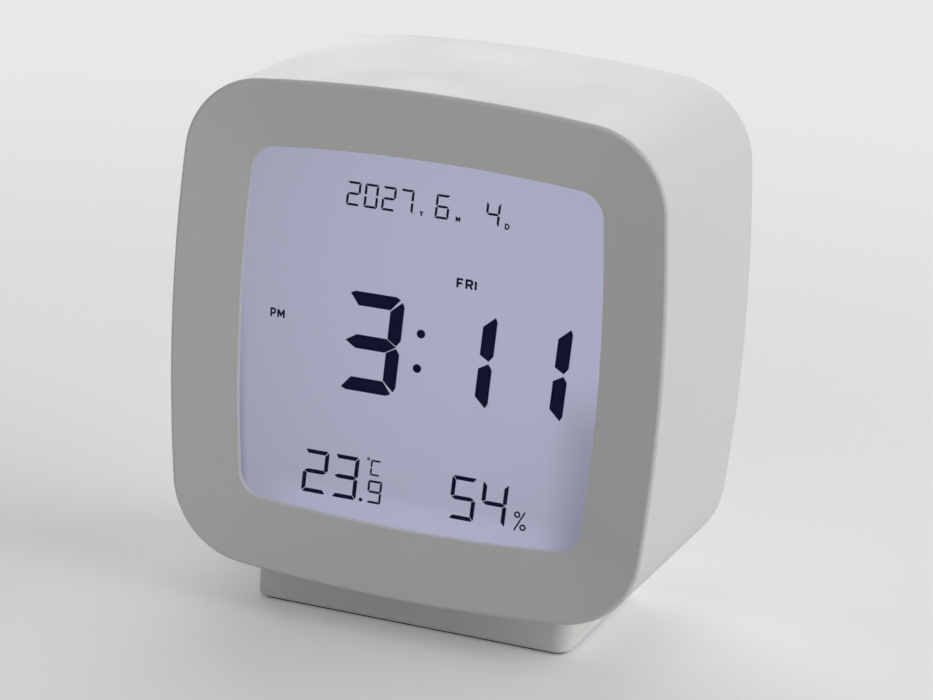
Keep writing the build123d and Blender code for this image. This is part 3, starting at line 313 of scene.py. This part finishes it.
def grain(tree, pattern, strength, depth):
    """Bump from a pattern, its depth in metres."""
    node = new_node(tree, "ShaderNodeBump", Strength=strength, Distance=depth)
    tree.links.new(pattern, node.inputs["Height"])
    return node.outputs["Normal"]


def solid(
    slot, colour, roughness, metallic=0.0, change=COLOUR_DRIFT,
    fine=GRAIN_SCALE, depth=GRAIN_DEPTH, strength=GRAIN_STRENGTH,
):
    """Moulded, painted or metal surface: drifting colour and gloss over a fine grain."""
    tree = tree_of(slot)
    shader = new_node(tree, "ShaderNodeBsdfPrincipled", Metallic=metallic)
    broad = noise(tree, *BROAD_NOISE)
    small = noise(tree, fine, GRAIN_OCTAVES)
    smooth = roughness * (1 - GLOSS_DRIFT)
    rough = roughness * (1 + GLOSS_DRIFT)
    tree.links.new(tint(tree, broad, colour, change), shader.inputs["Base Color"])
    tree.links.new(spread(tree, broad, *NOISE_MIDDLE, smooth, rough), shader.inputs["Roughness"])
    tree.links.new(grain(tree, small, strength, depth), shader.inputs["Normal"])
    surface(tree, shader)
    return tree


def lit_through(tree, colour):
    """Adds the little light that a dark piece lets through from behind."""
    shader = principled(tree)
    shader.inputs["Emission Color"].default_value = (*colour, 1)
    shader.inputs["Emission Strength"].default_value = 1


def paint_recess_shade(tree, node):
    """Paints shade on what lies deep behind the rearmost face of a node: a darker colour in its recesses.
    """
    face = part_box(node)[1][1]
    y = object_axes(tree)[1]
    outward = ramp(tree, y, face - RECESS_FLOOR, face - RECESS_TOP)
    colour = principled(tree).inputs["Base Color"]
    bright = colour.links[0].from_socket
    tree.links.new(color_mix(tree, outward, RECESS_SHADE, bright), colour)


def clear(slot, colour, roughness, gloss):
    """Thin clear sheet: it lets light straight through and adds a weak reflection on its outer faces."""
    tree = tree_of(slot)
    through = new_node(tree, "ShaderNodeBsdfTransparent", Color=(*colour, 1))
    shine = new_node(tree, "ShaderNodeBsdfGlossy", Color=(*WHITE, 1))
    smear = noise(tree, *SMEAR_NOISE)
    smooth = roughness * (1 - CLEAR_GLOSS_DRIFT)
    rough = roughness * (1 + CLEAR_GLOSS_DRIFT)
    tree.links.new(spread(tree, smear, *NOISE_MIDDLE, smooth, rough), shine.inputs["Roughness"])
    edge = new_node(tree, "ShaderNodeFresnel", IOR=1 + gloss).outputs[0]
    inside = tree.nodes.new("ShaderNodeNewGeometry").outputs["Backfacing"]
    outside = math_node(tree, "SUBTRACT", 1, inside)
    surface(tree, shader_mix(tree, math_node(tree, "MULTIPLY", edge, outside), through, shine))


def squared(tree, value):
    """A value times itself."""
    return math_node(tree, "POWER", value, 2)


def glowing(slot, node, colour):
    """Lit ground of the display: dimmer towards the sides and the lower right, brighter along the foot; the
    darkening along the left edge is painted shadow of the window's rim.
    """
    tree = tree_of(slot)
    low, high = (Vector(corner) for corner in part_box(node))
    middle, half = (low + high) / 2, (high - low) / 2
    x, _, z = object_axes(tree)
    across = math_node(tree, "DIVIDE", math_node(tree, "SUBTRACT", x, middle.x), half.x)
    upward = math_node(tree, "DIVIDE", math_node(tree, "SUBTRACT", z, middle.z), half.z)
    right = math_node(tree, "MAXIMUM", across, 0)
    below = math_node(tree, "MAXIMUM", math_node(tree, "MULTIPLY", upward, -1), 0)

    from_x = math_node(tree, "SUBTRACT", across, GLOW_MIDDLE[0])
    from_z = math_node(tree, "SUBTRACT", upward, GLOW_MIDDLE[1])
    reach = math_node(tree, "ADD", squared(tree, from_x), squared(tree, from_z))

    corner = squared(tree, math_node(tree, "MULTIPLY", right, below))

    right_edge = ramp(tree, right, *GLOW_RIGHT_BORDER)
    right_edge = math_node(tree, "MULTIPLY", right_edge, ramp(tree, below, *GLOW_RIGHT_BELOW))

    aside = math_node(tree, "ABSOLUTE", across)
    foot = ramp(tree, below, *GLOW_FOOT_BORDER)
    foot = math_node(tree, "MULTIPLY", foot, ramp(tree, aside, *GLOW_FOOT_ENDS))

    # Painted shadow along the display's left edge, bowed with height and growing towards the bottom
    bowed = math_node(tree, "MULTIPLY", squared(tree, upward), LEFT_SHADOW_BOW)
    left = math_node(tree, "SUBTRACT", bowed, across)
    painted_left_shadow = ramp(tree, left, *LEFT_SHADOW_BORDER)
    painted_left_shadow = math_node(tree, "MULTIPLY", painted_left_shadow, ramp(tree, upward, *LEFT_SHADOW_BELOW))

    level = 1
    for where, change in (
        (reach, -GLOW_FALL),
        (corner, -GLOW_CORNER_FALL),
        (right_edge, -GLOW_RIGHT_FALL),
        (foot, GLOW_FOOT_RISE),
        (painted_left_shadow, -LEFT_SHADOW_FALL),
    ):
        level = math_node(tree, "MULTIPLY_ADD", where, change, level)
    cloud = noise(tree, *CLOUD_NOISE)
    glow = tree.nodes.new("ShaderNodeEmission")
    tree.links.new(tint(tree, cloud, colour, GLOW_DRIFT), glow.inputs["Color"])
    tree.links.new(level, glow.inputs["Strength"])
    surface(tree, glow)


def wrapped_cell(slot, upper, lower):
    """Battery cells in a printed jacket; the upper one's nub points along +X, the lower one's along -X."""
    tree = tree_of(slot)
    low, high = (Vector(corner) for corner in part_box(upper))
    length = high.x - low.x
    between = (low.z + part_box(lower)[1][2]) / 2
    x, _, z = object_axes(tree)
    side = math_node(tree, "MULTIPLY_ADD", math_node(tree, "GREATER_THAN", z, between), 2, -1)
    from_nub = math_node(tree, "SUBTRACT", high.x, math_node(tree, "MULTIPLY", x, side))
    nub = math_node(tree, "LESS_THAN", from_nub, CELL_NUB_SHARE * length)
    end = math_node(tree, "GREATER_THAN", from_nub, (1 - CELL_END_SHARE) * length)
    bare = math_node(tree, "MAXIMUM", nub, end)
    band = math_node(tree, "LESS_THAN", from_nub, CELL_BAND_SHARE * length)
    smear = noise(tree, *JACKET_NOISE)
    jacket = tint(tree, smear, CELL_JACKET, CELL_PRINT_DRIFT)
    printed = color_mix(tree, band, jacket, tint(tree, smear, CELL_BAND, CELL_PRINT_DRIFT))
    metal = tint(tree, smear, CELL_METAL, CELL_METAL_DRIFT)
    shader = new_node(tree, "ShaderNodeBsdfPrincipled")
    tree.links.new(color_mix(tree, bare, printed, metal), shader.inputs["Base Color"])
    tree.links.new(bare, shader.inputs["Metallic"])
    tree.links.new(spread(tree, smear, *NOISE_MIDDLE, *CELL_ROUGHNESS), shader.inputs["Roughness"])
    tree.links.new(grain(tree, smear, CELL_GRAIN_STRENGTH, GRAIN_DEPTH), shader.inputs["Normal"])
    surface(tree, shader)


def paint_cover_screws():
    """The rear cover's screws get a steel of their own, with painted shade in their cross recesses."""
    node = "rear_cover_screws"
    own = bpy.data.materials.new("cover_screw_steel_painted_shade")
    frame["nodes"][node].material_slots[0].material = own
    paint_recess_shade(solid(own.name, **FINISHES["screw_steel"]), node)


# Springs
def make_squeezed_springs(pressed):
    """Copies of the coil springs that a joint presses, each with a mesh of its own, attached to the joint's
    parent in place of the hidden originals.
    """
    joint = next(joint for joint in frame["joints"] if joint["name"] == pressed)
    for row in joint["deforming_nodes"]:
        node = row["node"]
        coils = bpy.data.objects.new(node + "_squeezed", frame["nodes"][node].data.copy())
        bpy.context.collection.objects.link(coils)
        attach(coils, joint["parent"])
        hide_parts(node)
        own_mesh(coils)


# Camera, lamps and room
def aim(place, target, roll=0.0):
    """Placement at a point, looking at a target, rolled clockwise in degrees."""
    back = (place - target).normalized()
    right = Vector((0, 0, 1)).cross(back).normalized()
    up = back.cross(right)
    turn = math.radians(roll)
    across = right * math.cos(turn) + up * math.sin(turn)
    upward = up * math.cos(turn) - right * math.sin(turn)
    rotation = Matrix((across, upward, back)).transposed().to_4x4()
    return Matrix.Translation(place) @ rotation


def make_camera():
    """The photograph's camera."""
    azimuth = math.radians(CAMERA_AZIMUTH)
    elevation = math.radians(CAMERA_ELEVATION)
    level = math.cos(elevation)
    back = Vector((math.sin(azimuth) * level, -math.cos(azimuth) * level, math.sin(elevation)))
    data = bpy.data.cameras.new("camera")
    data.sensor_width = SENSOR_WIDTH_MM
    data.lens = FOCAL_PX / FRAME_WIDTH_PX * SENSOR_WIDTH_MM
    data.clip_start = NEAREST_SEEN
    data.clip_end = FARTHEST_SEEN
    camera = bpy.data.objects.new("camera", data)
    bpy.context.collection.objects.link(camera)
    camera.matrix_world = aim(CAMERA_TARGET + back * CAMERA_DISTANCE, CAMERA_TARGET, CAMERA_ROLL)
    bpy.context.scene.camera = camera


def make_lamp(name, place, size, power):
    """A square, white area lamp aimed at the clock."""
    data = bpy.data.lights.new(name, "AREA")
    data.shape = "SQUARE"
    data.size = size
    data.energy = power
    lamp = bpy.data.objects.new(name, data)
    bpy.context.collection.objects.link(lamp)
    lamp.matrix_world = aim(place, AIM)


def looked_at(tree):
    """One for what the camera sees, straight, mirrored or through glass."""
    path = tree.nodes.new("ShaderNodeLightPath")
    total = path.outputs["Is Camera Ray"]
    for name in ("Is Glossy Ray", "Is Transmission Ray"):
        total = math_node(tree, "MAXIMUM", total, path.outputs[name])
    return total


def make_floor():
    """A plain pale floor that keeps the shadow and fades into the backdrop farther out."""
    mesh = bpy.data.meshes.new("floor")
    half = FLOOR_HALF
    corners = [(-half, -half, 0), (half, -half, 0), (half, half, 0), (-half, half, 0)]
    mesh.from_pydata(corners, [], [(0, 1, 2, 3)])
    floor = bpy.data.objects.new("floor", mesh)
    bpy.context.collection.objects.link(floor)
    mesh.materials.append(bpy.data.materials.new("floor_paint"))
    tree = tree_of("floor_paint")
    painted = new_node(tree, "ShaderNodeBsdfDiffuse")
    paint = tint(tree, noise(tree, *FLOOR_NOISE), FLOOR_COLOUR, FLOOR_DRIFT)
    tree.links.new(paint, painted.inputs["Color"])
    lift = new_node(tree, "ShaderNodeEmission", Color=(*WHITE, 1), Strength=FLOOR_LIFT)
    near = tree.nodes.new("ShaderNodeAddShader")
    tree.links.new(painted.outputs[0], near.inputs[0])
    tree.links.new(lift.outputs[0], near.inputs[1])
    far = new_node(tree, "ShaderNodeEmission", Color=(*BACKDROP_COLOUR, 1), Strength=1)
    reach = tree.nodes.new("ShaderNodeVectorMath")
    reach.operation = "LENGTH"
    tree.links.new(object_place(tree), reach.inputs[0])
    seen = shader_mix(tree, ramp(tree, reach.outputs["Value"], *FLOOR_FADE), near, far)
    bounce = new_node(tree, "ShaderNodeBsdfDiffuse", Color=(*FLOOR_BOUNCE_COLOUR, 1))
    surface(tree, shader_mix(tree, looked_at(tree), bounce, seen))


def make_world():
    """Even light from all round, with a pale backdrop for the camera and for reflections."""
    world = bpy.data.worlds.new("room")
    bpy.context.scene.world = world
    world.use_nodes = True
    tree = world.node_tree
    tree.nodes.clear()
    light = new_node(tree, "ShaderNodeBackground", Color=(*WHITE, 1), Strength=AMBIENT)
    backdrop = new_node(tree, "ShaderNodeBackground", Color=(*BACKDROP_COLOUR, 1), Strength=1)
    output = tree.nodes.new("ShaderNodeOutputWorld")
    seen = shader_mix(tree, looked_at(tree), light, backdrop)
    tree.links.new(seen.outputs[0], output.inputs["Surface"])


for slot, finish in FINISHES.items():
    solid(slot, **finish)
for slot, finish in CLEAR_FINISHES.items():
    clear(slot, **finish)
glowing("lit_glass", "rear_glass", DISPLAY_GLOW)
lit_through(bpy.data.materials["display_ink"].node_tree, INK_GLOW)
wrapped_cell("cell_jacket", "cell_upper", "cell_lower")
paint_cover_screws()
make_squeezed_springs("body_press")
make_camera()
for name, (place, size, power) in LAMPS.items():
    make_lamp(name, place, size, power)
make_floor()
make_world()
bpy.context.scene.view_settings.view_transform = "Standard"
